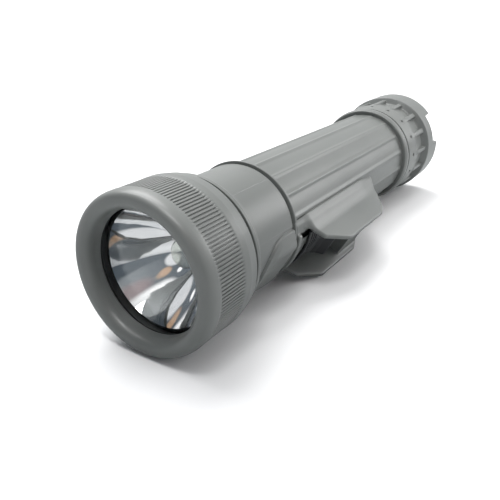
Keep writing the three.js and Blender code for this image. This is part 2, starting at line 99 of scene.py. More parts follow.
def piece(name, points, faces, material, body, slot, nodes=(), normals=None, sharp=40):
    """A mesh object that rides on a CAD body and stands for CAD nodes."""
    co = place(points)
    mesh = bpy.data.meshes.new(name)
    mesh.from_pydata(co.tolist(), [], [list(map(int, f)) for f in faces])
    mesh.validate()
    mesh.polygons.foreach_set("use_smooth", np.ones(len(mesh.polygons), bool))
    if normals is not None:
        c, n = math.cos(ROLL), math.sin(ROLL)
        nx, ns, nz = normals.T
        world = np.stack([nx * c + nz * n, ns, nz * c - nx * n], 1)
        mesh.normals_split_custom_set_from_vertices(world.tolist())
    elif sharp:
        mesh.set_sharp_from_angle(angle=math.radians(sharp))
    mesh.materials.append(material)
    obj = bpy.data.objects.new(name, mesh)
    bpy.context.scene.collection.objects.link(obj)
    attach(obj, body)
    if nodes:
        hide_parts(*nodes)
    return obj


def rounded(corners, step=0.0, arc=5):
    """Outline through (s, r, fillet) corners: each corner with a fillet becomes an arc.

    The outline closes on itself unless it starts on the axis. step splits its long lines.
    """
    pts = [np.array(c[:2], float) for c in corners]
    radii = [c[2] if len(c) > 2 else 0.0 for c in corners]
    closed = pts[0][1] > 1e-6
    out = []
    count = len(pts)
    for i, p in enumerate(pts):
        r = radii[i]
        if r <= 0 or (not closed and i in (0, count - 1)):
            out.append(p)
            continue
        a, b = pts[i - 1] - p, pts[(i + 1) % count] - p
        la, lb = np.linalg.norm(a), np.linalg.norm(b)
        a, b = a / la, b / lb
        half = 0.5 * math.acos(np.clip(a @ b, -1, 1))
        if half > math.pi / 2 - 0.02:
            out.append(p)
            continue
        back = min(r / math.tan(half), 0.49 * la, 0.49 * lb)
        r = back * math.tan(half)
        bis = (a + b) / np.linalg.norm(a + b)
        centre = p + bis * (r / math.sin(half))
        u, v = p + a * back - centre, p + b * back - centre
        turn = math.acos(np.clip(u @ v / (r * r), -1, 1))
        for k in range(arc + 1):
            t = k / arc
            out.append(centre + (u * math.sin((1 - t) * turn) + v * math.sin(t * turn)) / math.sin(turn))
    if closed:
        out.append(out[0])
    if step:
        split = [out[0]]
        for a, b in zip(out[:-1], out[1:]):
            size = step(*((a + b) / 2)) if callable(step) else step
            n = max(1, int(math.ceil(np.linalg.norm(b - a) / size)))
            split += [a + (b - a) * (k + 1) / n for k in range(n)]
        out = split
    if closed:
        out = out[:-1]
    return np.array(out)


def even(count):
    """Angles in degrees from the switch direction, evenly round the axis."""
    return np.arange(count) * 360 / count


def lathe(outline, angles, shape=None):
    """Turns an outline of (s, r) points about the axis. shape(angle, s, r) may move each point."""
    closed = outline[0][1] > 1e-6
    rows = outline if closed else outline[1:-1]
    a, s = np.meshgrid(angles, rows[:, 0])
    r = np.repeat(rows[:, 1][:, None], len(angles), 1)
    if shape is not None:
        s, r = shape(a, s, r)
    t = np.radians(a)
    points = np.stack([r * np.cos(t), s, r * np.sin(t)], -1).reshape(-1, 3)
    m, n = len(angles), len(rows)
    i = np.arange(n if closed else n - 1)
    j = np.arange(m)
    ii, jj = np.meshgrid(i, j, indexing="ij")
    nxt, side = (ii + 1) % n, (jj + 1) % m
    quads = np.stack([ii * m + jj, ii * m + side, nxt * m + side, nxt * m + jj], -1).reshape(-1, 4)
    faces = quads.tolist()
    if not closed:
        poles = [[0, outline[0][0], 0], [0, outline[-1][0], 0]]
        first, last = len(points), len(points) + 1
        points = np.vstack([points, poles])
        faces += [[first, (k + 1) % m, k] for k in range(m)]
        base = (n - 1) * m
        faces += [[last, base + k, base + (k + 1) % m] for k in range(m)]
    p = points[quads]
    volume = np.einsum("ij,ij->i", p[:, 0], np.cross(p[:, 1], p[:, 2])).sum()
    if volume < 0:
        faces = [f[::-1] for f in faces]
    return points, faces


def smooth(x, lo, hi):
    """0 below lo, 1 above hi, eased between."""
    t = np.clip((x - lo) / (hi - lo), 0, 1)
    return t * t * (3 - 2 * t)


def window(x, lo, hi, soft):
    """1 between lo and hi, eased to 0 over soft outside them."""
    return smooth(x, lo - soft, lo) * (1 - smooth(x, hi, hi + soft))


def wrap(angle):
    """Degrees folded to -180..180."""
    return (np.asarray(angle) + 180) % 360 - 180


# ---- solids from distance fields -----------------------------------------------------------
def fillet_join(a, b, r):
    u = np.maximum(r - a, 0)
    v = np.maximum(r - b, 0)
    return np.maximum(r, np.minimum(a, b)) - np.hypot(u, v)


def fillet_common(a, b, r):
    u = np.maximum(r + a, 0)
    v = np.maximum(r + b, 0)
    return np.minimum(-r, np.maximum(a, b)) + np.hypot(u, v)


def fillet_cut(a, b, r):
    return fillet_common(a, -b, r)


def polygon(x, y, corners):
    """Signed distance to a closed outline of (x, y) corners, negative inside."""
    c = np.array(corners, float)
    best = np.full(x.shape, 1e9)
    inside = np.zeros(x.shape, bool)
    for (ax, ay), (bx, by) in zip(c, np.roll(c, -1, 0)):
        ex, ey = bx - ax, by - ay
        t = np.clip(((x - ax) * ex + (y - ay) * ey) / (ex * ex + ey * ey), 0, 1)
        best = np.minimum(best, np.hypot(x - ax - t * ex, y - ay - t * ey))
        crosses = (ay > y) != (by > y)
        if ey:
            inside ^= crosses & (x < ax + (y - ay) * ex / ey)
    return np.where(inside, -best, best)


def slab(v, lo, hi):
    return np.maximum(lo - v, v - hi)


def net(field, low, high, step):
    """Surface of a distance field as quads, its points drawn on to the surface, with exact normals."""
    axes = [np.arange(lo, hi + step, step) for lo, hi in zip(low, high)]
    grid = np.meshgrid(*axes, indexing="ij")
    f = field(*grid).astype(np.float32)
    n = np.array(f.shape) - 1
    offsets = [(i, j, k) for i in (0, 1) for j in (0, 1) for k in (0, 1)]
    corner = [f[i:n[0] + i, j:n[1] + j, k:n[2] + k] for i, j, k in offsets]
    inside = sum((c < 0).astype(np.int8) for c in corner)
    active = (inside > 0) & (inside < 8)
    cells = np.argwhere(active)
    index = np.full(active.shape, -1, np.int64)
    index[active] = np.arange(len(cells))
    values = np.stack([c[active] for c in corner], 1).astype(float)
    total = np.zeros((len(cells), 3))
    hits = np.zeros(len(cells))
    for a in range(8):
        for b in range(a + 1, 8):
            d = np.array(offsets[b]) - np.array(offsets[a])
            if np.abs(d).sum() != 1:
                continue
            va, vb = values[:, a], values[:, b]
            cross = (va < 0) != (vb < 0)
            t = np.where(cross, va / np.where(cross, va - vb, 1), 0)
            total += (np.array(offsets[a]) + t[:, None] * d) * cross[:, None]
            hits += cross
    points = (cells + total / hits[:, None]) * step + np.array(low)
    faces = []
    for axis in range(3):
        u, v = [k for k in range(3) if k != axis]
        near, far = [slice(None)] * 3, [slice(None)] * 3
        near[axis], far[axis] = slice(0, -1), slice(1, None)
        a, b = f[tuple(near)], f[tuple(far)]
        e = np.argwhere((a < 0) != (b < 0))
        e = e[(e[:, u] > 0) & (e[:, v] > 0) & (e[:, u] < n[u]) & (e[:, v] < n[v])]
        out = a[tuple(e.T)] < 0
        ring = []
        for du, dv in ((1, 1), (0, 1), (0, 0), (1, 0)):
            c = e.copy()
            c[:, u] -= du
            c[:, v] -= dv
            ring.append(index[tuple(c.T)])
        q = np.stack(ring, 1)
        flip = out if axis != 1 else ~out
        q[~flip] = q[~flip][:, ::-1]
        faces.append(q)
    faces = np.vstack(faces)
    h = 0.02

    def slope(p):
        g = [field(*(p + d).T) - field(*(p - d).T) for d in np.eye(3) * h]
        return np.stack(g, 1) / (2 * h)

    for _ in range(3):
        g = slope(points)
        size = np.maximum((g * g).sum(1), 0.2)
        move = np.clip(field(*points.T) / size, -0.3 * step, 0.3 * step)
        points -= g * move[:, None]
    normals = slope(points)
    normals /= np.maximum(np.linalg.norm(normals, axis=1), 1e-6)[:, None]
    return points, faces, normals


# ---- materials -----------------------------------------------------------------------------
def linear(hex_colour):
    c = [((hex_colour >> k) & 255) / 255 for k in (16, 8, 0)]
    return [x / 12.92 if x <= 0.04045 else ((x + 0.055) / 1.055) ** 2.4 for x in c] + [1.0]


class Nodes:
    """Short hand for building one node tree, a material's or the world's."""

    def __init__(self, name, owner=None):
        self.material = owner or bpy.data.materials.new(name)
        self.material.use_nodes = True
        self.tree = self.material.node_tree
        self.bsdf = self.tree.nodes.get("Principled BSDF")
        self.output = self.tree.nodes.get("Material Output") or self.tree.nodes["World Output"]
        self.where = self.add("ShaderNodeTexCoord").outputs["Generated" if owner else "Object"]

    def add(self, kind, **settings):
        node = self.tree.nodes.new(kind)
        for key, value in settings.items():
            setattr(node, key, value)
        return node

    def put(self, socket, value):
        if isinstance(value, bpy.types.NodeSocket):
            self.tree.links.new(value, socket)
        else:
            socket.default_value = value

    def noise(self, scale, detail=2.0, stretch=None, rough=0.5):
        where = self.where
        if stretch:
            m = self.add("ShaderNodeMapping")
            self.put(m.inputs["Vector"], where)
            m.inputs["Scale"].default_value = stretch
            where = m.outputs[0]
        n = self.add("ShaderNodeTexNoise")
        self.put(n.inputs["Vector"], where)
        n.inputs["Scale"].default_value = scale
        n.inputs["Detail"].default_value = detail
        n.inputs["Roughness"].default_value = rough
        return n.outputs["Fac"]

    def span(self, value, lo, hi, to_lo, to_hi):
        n = self.add("ShaderNodeMapRange")
        self.put(n.inputs["Value"], value)
        for key, v in (("From Min", lo), ("From Max", hi), ("To Min", to_lo), ("To Max", to_hi)):
            n.inputs[key].default_value = v
        return n.outputs["Result"]

    def math(self, operation, a, b=0.0):
        n = self.add("ShaderNodeMath", operation=operation)
        self.put(n.inputs[0], a)
        self.put(n.inputs[1], b)
        return n.outputs[0]

    def mix(self, share, a, b):
        n = self.add("ShaderNodeMix", data_type="RGBA")
        self.put(n.inputs["Factor"], share)
        self.put(n.inputs["A"], a)
        self.put(n.inputs["B"], b)
        return n.outputs["Result"]

    def bump(self, height, strength, distance, before=None):
        n = self.add("ShaderNodeBump")
        self.put(n.inputs["Height"], height)
        n.inputs["Strength"].default_value = strength
        n.inputs["Distance"].default_value = distance
        if before is not None:
            self.put(n.inputs["Normal"], before)
        return n.outputs["Normal"]


def plastic(name, colour, light, dark, rough):
    """Satin moulded plastic: fine grain, uneven gloss, faint flow lines and rubbed edges."""
    m = Nodes(name)
    flow = m.noise(38, 4, (1, 0.35, 1))
    base = m.mix(m.span(flow, 0.35, 0.65, 0, 1), linear(dark), linear(colour))
    cloud = m.noise(14, 3)
    base = m.mix(m.span(cloud, 0.4, 0.7, 0, 0.35), base, linear(light))
    point = m.add("ShaderNodeNewGeometry").outputs["Pointiness"]
    patchy = m.span(m.noise(160, 5), 0.4, 0.62, 0.15, 1)
    edge = m.math("MULTIPLY", m.span(point, 0.515, 0.56, 0, 0.35), patchy)
    base = m.mix(edge, base, linear(light))
    m.put(m.bsdf.inputs["Base Color"], base)
    gloss = m.span(m.noise(55, 5), 0.3, 0.7, rough - 0.03, rough + 0.03)
    rubbed = m.span(m.noise(420, 4, (1, 0.12, 1), 0.6), 0.45, 0.75, 0, 0.03)
    m.put(m.bsdf.inputs["Roughness"], m.math("ADD", gloss, rubbed))
    m.bsdf.inputs["IOR"].default_value = 1.49
    fine = m.bump(m.noise(2600, 2), 0.12, 0.00006)
    wide = m.bump(m.noise(240, 3), 0.072, 0.0002, fine)
    m.put(m.bsdf.inputs["Normal"], wide)
    return m.material


def rubber(name, colour):
    m = Nodes(name)
    base = m.mix(m.span(m.noise(90, 4), 0.35, 0.65, 0, 1), linear(colour), linear(colour + 0x0a0a0a))
    m.put(m.bsdf.inputs["Base Color"], base)
    m.put(m.bsdf.inputs["Roughness"], m.span(m.noise(140, 4), 0.3, 0.7, 0.62, 0.85))
    m.put(m.bsdf.inputs["Normal"], m.bump(m.noise(1800, 3), 0.25, 0.0001))
    return m.material


def metal(name, colour, dark, rough, stretch=(1, 1, 1)):
    m = Nodes(name)
    base = m.mix(m.span(m.noise(120, 5), 0.4, 0.7, 0, 0.8), linear(colour), linear(dark))
    m.put(m.bsdf.inputs["Base Color"], base)
    m.bsdf.inputs["Metallic"].default_value = 1.0
    m.put(m.bsdf.inputs["Roughness"], m.span(m.noise(300, 5, stretch), 0.3, 0.7, rough, rough + 0.14))
    m.put(m.bsdf.inputs["Normal"], m.bump(m.noise(900, 3, stretch), 0.06, 0.0001))
    return m.material


def mirror(name):
    """Bright metallised plastic with faint ripples."""
    m = Nodes(name)
    base = m.mix(m.span(m.noise(70, 3), 0.4, 0.7, 0, 0.5), linear(0xf4f4f4), linear(0xe2e4e6))
    m.put(m.bsdf.inputs["Base Color"], base)
    m.bsdf.inputs["Metallic"].default_value = 1.0
    m.put(m.bsdf.inputs["Roughness"], m.span(m.noise(260, 4), 0.4, 0.8, 0.025, 0.07))
    ripple = m.bump(m.noise(85, 2), 0.15, 0.0005)
    m.put(m.bsdf.inputs["Normal"], m.bump(m.noise(220, 1), 0.04, 0.0001, ripple))
    return m.material


def sheet(name):
    """Thin clear sheet: a weak mirror at its face and edges, a little dust, otherwise seen through."""
    m = Nodes(name)
    face = m.math("POWER", m.add("ShaderNodeLayerWeight").outputs["Facing"], 4.0)
    m.put(m.bsdf.inputs["Base Color"], m.mix(m.noise(200, 4), linear(0xe9efed), linear(0xf6f8f8)))
    m.bsdf.inputs["Metallic"].default_value = 1.0
    m.put(m.bsdf.inputs["Roughness"], m.span(m.noise(45, 5), 0.45, 0.75, 0.01, 0.05))
    dust = m.span(m.noise(420, 5), 0.6, 0.75, 0.035, 0.05)
    m.put(m.bsdf.inputs["Alpha"], m.math("ADD", face, dust))
    m.put(m.bsdf.inputs["Normal"], m.bump(m.noise(30, 2), 0.03, 0.0003))
    return m.material


def glass(name, tint, dust):
    """Clear glass that lets light on to what is behind it, with a trace of dust."""
    m = Nodes(name)
    base = m.mix(m.span(m.noise(300, 5), 0.45, 0.75, 0, 0.4), linear(tint), linear(0xdfe4e2))
    m.put(m.bsdf.inputs["Base Color"], base)
    m.bsdf.inputs["Transmission Weight"].default_value = 1.0
    m.bsdf.inputs["IOR"].default_value = 1.47
    smear = m.span(m.noise(45, 5), 0.45, 0.75, 0.0, dust)
    m.put(m.bsdf.inputs["Roughness"], smear)
    m.put(m.bsdf.inputs["Normal"], m.bump(m.noise(35, 2), 0.03, 0.0003))
    path = m.add("ShaderNodeLightPath").outputs["Is Shadow Ray"]
    clear = m.add("ShaderNodeBsdfTransparent")
    clear.inputs["Color"].default_value = (0.92, 0.93, 0.92, 1)
    both = m.add("ShaderNodeMixShader")
    m.put(both.inputs[0], path)
    m.put(both.inputs[1], m.bsdf.outputs[0])
    m.put(both.inputs[2], clear.outputs[0])
    m.put(m.output.inputs["Surface"], both.outputs[0])
    return m.material


housing = plastic("satin_grey_plastic", 0x6f7270, 0x8c8e8b, 0x696c6a, 0.34)
black = plastic("black_plastic", 0x16181b, 0x3a3d40, 0x111316, 0.4)
insulator = plastic("insulator_plastic", 0x1c1d1e, 0x3a3b3c, 0x151617, 0.5)
seal = rubber("seal_rubber", 0x0d0e0f)
mirrored = mirror("metallised_mirror")
lens_clear = sheet("lens_clear")
bulb_clear = glass("bulb_glass", 0xf1f3ee, 0.01)
brass = metal("brass", 0xb89a55, 0x7d6432, 0.24)
steel = metal("spring_steel", 0xb7babd, 0x808488, 0.2, (1, 0.2, 1))


def cell_wrap():
    """Printed film over a steel can: a plain band at each end, no lettering."""
    m = Nodes("cell_jacket")
    base = m.mix(m.span(m.noise(20, 3), 0.4, 0.65, 0, 1), linear(0x24282d), linear(0x2e3339))
    across = m.add("ShaderNodeSeparateXYZ")
    m.put(across.inputs[0], m.where)
    wave = m.math("SINE", m.math("MULTIPLY", across.outputs["Y"], 102.0))
    base = m.mix(m.span(wave, 0.86, 0.88, 0, 1), base, linear(0xb07a3c))
    m.put(m.bsdf.inputs["Base Color"], base)
    m.bsdf.inputs["Metallic"].default_value = 0.35
    m.put(m.bsdf.inputs["Roughness"], m.span(m.noise(80, 4), 0.3, 0.7, 0.26, 0.42))
    m.put(m.bsdf.inputs["Normal"], m.bump(m.noise(60, 3), 0.1, 0.0004))
    return m.material


jacket = cell_wrap()


# ---- head ----------------------------------------------------------------------------------
def head_ring():
    quarter = np.linspace(0.001, math.pi / 2 - 0.001, 18)
    throat = [(4.0 * (1 - math.cos(t) ** 0.9), CREST_R - (CREST_R - 20.95) * math.sin(t) ** 0.9)
              for t in quarter[::-1]]
    nose = [(BEZEL_DEPTH * (1 - math.cos(t) ** 0.8), CREST_R + (HEAD_R - CREST_R) * math.sin(t) ** 0.8)
            for t in quarter[1:]]
    corners = [
        (LIP_END, BEZEL_LIP_R, 0.15), *throat, *nose,
        (GROOVE_START - 0.2, HEAD_R, 0), (GROOVE_START + 0.9, HEAD_R, 0), (GROOVE_END - 0.9, HEAD_R, 0),
        (GROOVE_END + 0.15, HEAD_R, 0), (HEAD_LENGTH - 4.6, HEAD_R, 3),
        (HEAD_LENGTH - 0.1, HEAD_REAR_R, 0.35), (HEAD_LENGTH, HEAD_BORE_R, 0.3), (LIP_END, HEAD_BORE_R, 0),
    ]
    outline = rounded(corners, 0.45)
    period = 360 / GROOVES
    steps = np.array([0, 0.5, 1.0, 1.3, 1.9, 2.2])
    angles = np.concatenate([k * period + steps for k in range(GROOVES)])

    def shape(a, s, r):
        phase = a % period
        cut = smooth(phase, 0.95, 1.32) * (1 - smooth(phase, 1.88, 2.25))
        ends = smooth(s, GROOVE_START, GROOVE_START + 0.9) * (1 - smooth(s, GROOVE_END - 1.3, GROOVE_END))
        outer = r > 25.5
        ridge = 0.08 * window(s, GROOVE_START + 0.2, GROOVE_END - 0.6, 0.8)
        return s, np.where(outer, r - ridge - 0.42 * cut * ends, r)

    return lathe(outline, angles, shape)


piece("head_ring_fine", *head_ring(), housing, "head", "housing", ["head_ring"])


def lens_parts():
    front = LIP_END + 0.25
    back = LENS_SEAT - 0.3
    gasket = rounded([(front, BEZEL_LIP_R + 0.15, 0.2), (front, LENS_R, 0.1), (back, LENS_R, 0.1),
                      (back, BEZEL_LIP_R + 0.15, 0.2)])
    piece("lens_gasket_fine", *lathe(gasket, even(160)), seal, "lens_pack", "seal_rubber", ["lens_gasket"])
    rear = LENS_SEAT + LENS_THICKNESS
    disc = rounded([(LENS_SEAT, 0), (LENS_SEAT, LENS_R, 0.3), (rear, LENS_R, 0.3), (rear, 0)])
    piece("lens_fine", *lathe(disc, even(160)), lens_clear, "lens_pack", "lens_clear", ["lens"])
    apex = MIRROR_START + MIRROR_R ** 2 / (4 * FOCAL_LENGTH)
    bowl = [(apex - r * r / (4 * FOCAL_LENGTH), r) for r in np.linspace(BULB_HOLE_R, MIRROR_R, 48)]
    shell = [(s + 1.1, r + 0.5) for s, r in bowl if r + 0.5 > 9.1 and s + 1.1 > 11.1][::-1]
    rim = [(MIRROR_START - 0.02, MIRROR_R + 0.25), (MIRROR_START, LENS_R, 0.2), (10.6, LENS_R, 0.2),
           (10.6, MIRROR_R + 0.6)]
    neck = [(shell[-1][0] + 0.6, 8.6), (BULB_FLANGE - 0.3, 8.6), (BULB_FLANGE - 0.3, BULB_HOLE_R)]
    outline = rounded([*bowl, *rim, *shell[::3], *neck])
    piece("reflector_fine", *lathe(outline, even(192)), mirrored, "lens_pack", "mirror", ["reflector"])


lens_parts()


def bulb(prefix, flange, body, nodes):
    """Flanged bulb, glass to the front: brass shell and flange behind, blown glass, a nub of solder."""
    f = flange
    base = rounded([(f - 0.3, 0), (f - 0.3, 3.1, 0.2), (f, 3.1, 0.1), (f, 6.75, 0.25),
                    (f + 0.8, 6.75, 0.25), (f + 0.8, 4.65, 0.2), (f + 8.2, 4.65, 0.4),
                    (f + 8.8, 3.6, 0.3), (f + 8.8, 1.8, 0.2), (f + 9.6, 1.5, 0.5), (f + 9.6, 0)])
    piece(prefix + "_base_fine", *lathe(base, even(64)), brass, body, "brass", [nodes[1]])
    outer = [(0.3, 4.6), (2.2, 4.4), (4.2, 5.2), (6.4, 5.5), (8.8, 4.9), (10.6, 3.0), (11.3, 0.9)]
    grown = spline([(f - d, r) for d, r in outer], 26)
    inner = spline([(f - 0.92 * d, r - 0.95) for d, r in outer if d < 10], 20)
    wall = np.vstack([[(f - 11.36, 0)], grown[::-1], inner, [(f - 9.0, 0)]])
    piece(prefix + "_glass_fine", *lathe(wall, even(64)), bulb_clear, body, "bulb_glass", [nodes[0]])


def spline(points, count):
    """A smooth curve through points, evenly sampled in its parameter."""
    p = np.asarray(points, float)
    p = np.vstack([2 * p[0] - p[1], p, 2 * p[-1] - p[-2]])
    out = []
    for u in np.linspace(0, len(p) - 3 - 1e-9, count):
        i = int(u)
        t = u - i
        a, b, c, d = p[i:i + 4]
        out.append(0.5 * (2 * b + (c - a) * t + (2 * a - 5 * b + 4 * c - d) * t * t
                          + (3 * b - a - 3 * c + d) * t ** 3))
    return np.array(out)


def sweep(path, radius, sides=12):
    """A round wire along a path, closed at both ends."""
    p = np.asarray(path, float)
    tangent = np.gradient(p, axis=0)
    tangent /= np.linalg.norm(tangent, axis=1)[:, None]
    across = np.cross(tangent[0], (0.3, 0.9, 0.2))
    rings = []
    for q, t in zip(p, tangent):
        across = across - t * (across @ t)
        across /= np.linalg.norm(across)
        up = np.cross(t, across)
        a = np.linspace(0, 2 * math.pi, sides, endpoint=False)[:, None]
        rings.append(q + radius * (across * np.cos(a) + up * np.sin(a)))
    points = np.vstack([*rings, p[:1], p[-1:]])
    n = len(p)
    faces = []
    for i in range(n - 1):
        for j in range(sides):
            k = (j + 1) % sides
            faces.append([i * sides + j, i * sides + k, (i + 1) * sides + k, (i + 1) * sides + j])
    faces += [[n * sides, k, (k + sides - 1) % sides] for k in range(sides)]
    last = (n - 1) * sides
    faces += [[n * sides + 1, last + (k + sides - 1) % sides, last + k] for k in range(sides)]
    return points, [f[::-1] for f in faces]


def helix(start, end, r0, r1, turns, per_turn=40):
    t = np.linspace(0, 1, int(turns * per_turn))
    a = t * turns * 2 * math.pi
    r = r0 + (r1 - r0) * t
    return np.stack([r * np.cos(a), start + (end - start) * t, r * np.sin(a)], 1)


def filament():
    f = BULB_FLANGE
    lead = 1.6
    left = spline([(-lead, f - 1.1, 0), (-lead, f - 4.5, 0), (-1.4, f - 6.4, 0)], 14)
    right = spline([(1.4, f - 6.4, 0), (lead, f - 4.5, 0), (lead, f - 1.1, 0)], 14)
    coil = helix(0, 2.8, 0.32, 0.32, 9, 12)
    coil = np.stack([coil[:, 1] - 1.4, f - 6.6 + coil[:, 0], coil[:, 2]], 1)
    piece("bulb_filament_fine", *sweep(np.vstack([left, coil, right]), 0.13, 6), steel, "lens_pack",
          "spring_steel", ["bulb_filament"])


bulb("bulb", BULB_FLANGE, "lens_pack", ("bulb_glass", "bulb_base"))
bulb("spare", SPARE_FLANGE, "cap", ("spare_glass", "spare_base"))
filament()


# ---- body ----------------------------------------------------------------------------------
RAMP_ANGLES = (0, 5, 10, 14.6, 17.5, 20, 22.5, 25, 28, 31, 34.5, 37.5, 90)
RAMP_RADII = (22.5, 22.55, 22.8, 23.2, 23.6, 23.95, 24.1, 23.9, 23.5, 23.2, 22.95, 22.75, 22.75)
RAMP_HALF_ANGLE = 37.5


def ramp_height(a, s):
    """Thumb ramp over the collar, its radius: two rails with a shallow channel between, a sharp foot."""
    w = np.abs(wrap(a))
    across = sum(np.interp(np.abs(w + d), RAMP_ANGLES, RAMP_RADII) for d in (-1, 0, 1)) / 3
    share = np.minimum(w, RAMP_HALF_ANGLE) / RAMP_HALF_ANGLE
    lean = 1.5 * share ** 1.5
    front = (s - 36.4 - 9.5 * share ** 2.5) / np.hypot(1, lean)
    side = (RAMP_HALF_ANGLE - w) * math.radians(1) * COLLAR_R
    inward = fillet_common(-front, -side, 2.0) * -1
    rise = 0.75 * smooth(inward, 0, 0.7)
    t = np.clip((s - 36.4) / 15, 0, 1) * np.clip(inward / 3, 0, 1)
    rise = rise + (across - COLLAR_R - 0.75) * (1 - (1 - t) ** 2)
    foot = 0.22 * np.exp(-(inward / 0.32) ** 2)
    return COLLAR_R + np.where(inward > 0, rise, 0) - foot


def seal_groove(s, r, surface):
    """Corners of an O-ring groove cut down to r from a surface radius, centred on s."""
    return [(s - 1.05, surface, 0.1), (s - 1.05, r, 0.1), (s + 1.05, r, 0.1), (s + 1.05, surface, 0.1)]


def body_shell():
    corners = [
        (NECK_START, NECK_BORE_R, 0.1), (NECK_START, NECK_R, 0.4),
        *seal_groove(HEAD_SEAL_AT, 21.85, NECK_R),
        (RIM_START, NECK_R, 0.1),
        (RIM_START, RIM_R, 0.25), (RIM_END, RIM_R, 0.8), (RIM_END + 2.2, COLLAR_R + 0.4, 1.5),
        (COLLAR_START, COLLAR_R, 3),
        (COLLAR_END, COLLAR_R, 0.35), (COLLAR_END + 0.1, 21.0, 0.15),
        (LEDGE_END - 0.9, 21.0, 0.15), (LEDGE_END - 0.85, LEDGE_R, 0.3), (LEDGE_END, LEDGE_R, 0.3),
        (LEDGE_END + 0.7, TUBE_R + 0.1, 0.4),
        (TUBE_END - 0.9, TUBE_R, 0.3), (TUBE_END + 0.5, 20.75, 0.2), (TUBE_END - 0.2, 22.8, 0.6),
        (171.5, 23.45, 1.2), (FLANGE_END - 0.5, 23.35, 0.35),
        (FLANGE_END - 0.5, SPIGOT_R, 0.1), *seal_groove(TAIL_SEAL_AT, 18.85, SPIGOT_R),
        (SPIGOT_END, SPIGOT_R, 0.5),
        (SPIGOT_END, TUBE_BORE_R, 0.3), (44, TUBE_BORE_R, 2), (26, 19.5, 1), (20, 19.5, 0.5),
        (17, NECK_BORE_R, 0.5),
    ]

    def spacing(s, r):
        if r <= INNER_R:
            return 2.5
        return 0.3 if s < HOUSING_START else 1.2

    outline = rounded(corners, spacing)
    near_line = np.arange(-0.9, 0.95, 0.15)
    extra = np.concatenate([-np.arange(40.6, 43.3, 0.18), np.arange(40.6, 43.3, 0.18),
                            np.arange(-40, 40.1, 0.4), *(line + near_line for line in PARTING_ANGLES)])
    angles = np.unique(np.round(np.concatenate([even(512), extra % 360]), 4))

    def shape(a, s, r):
        w = wrap(a)
        outer = r > INNER_R
        u = (a % (360 / FLUTES)) / (360 / FLUTES)
        crest = np.exp(-((u - np.round(u)) / 0.1) ** 2)
        flute = FLUTE_DEPTH * (1 - crest) + 0.12 * (1 - (2 * u - 1) ** 2)
        on_tube = window(s, 58.2, TUBE_END - 0.35, 0.2) * outer * (r < 21.6)
        r = r - flute * on_tube
        ramp = ramp_height(a, s)
        on_collar = outer & (s < COLLAR_END + 0.02) & (s > COLLAR_START) & (r > 21.6)
        r = np.where(on_collar, r + ramp - COLLAR_R, r)
        seam = smooth(SEAM_ANGLE + 0.95 - np.abs(w), 0, 0.3) * window(s, 58.9, SEAM_END, 0.3)
        r = np.where(on_tube > 0.5, r - (r - 20.35) * seam, r)
        lip = outer & (s > 56) & (s < 58) & (r > 21.9)
        r = np.where(lip, r - 0.25 * (smooth(SEAM_ANGLE + 0.9 - np.abs(w), 0, 1)), r)
        z = r * np.sin(np.radians(w))
        seat = (np.abs(w) < 60) & (np.abs(z) < 9.9) & (s > 60.3) & (s < 108) & outer
        flat = SEAT_X / np.maximum(np.cos(np.radians(np.clip(w, -60, 60))), 0.4)
        r = np.where(seat, np.minimum(r, flat), r)
        bore = (r < 18.4) & (np.abs(w) < 30) & (np.abs(18 * np.sin(np.radians(w))) < 3.2)
        channel = bore & (((s > 30) & (s < 63.3)) | ((s > 104) & (s < 189.5)))
        r = np.where(channel, 18.6, r)
        for line in PARTING_ANGLES:
            near = np.exp(-((wrap(a - line)) / 0.3) ** 2)
            r = r - 0.09 * near * outer * window(s, 26.5, 57.4, 0.3)
        return s, r

    return lathe(outline, angles, shape)


piece("body_shell_fine", *body_shell(), housing, "body", "housing", ["body_shell"], sharp=34)


# ---- switch --------------------------------------------------------------------------------
GUARD = rounded([(13, 67.4), (21.5, 67.2), (26.3, 69.0, 1.5), (32.2, 79.6, 2), (WING_TOP, 81, 2),
                 (WING_TOP, 111.6, 4), (30.5, 116.6, 4), (25.2, 121.8, 3), (19.6, 126), (13, 128.5)])


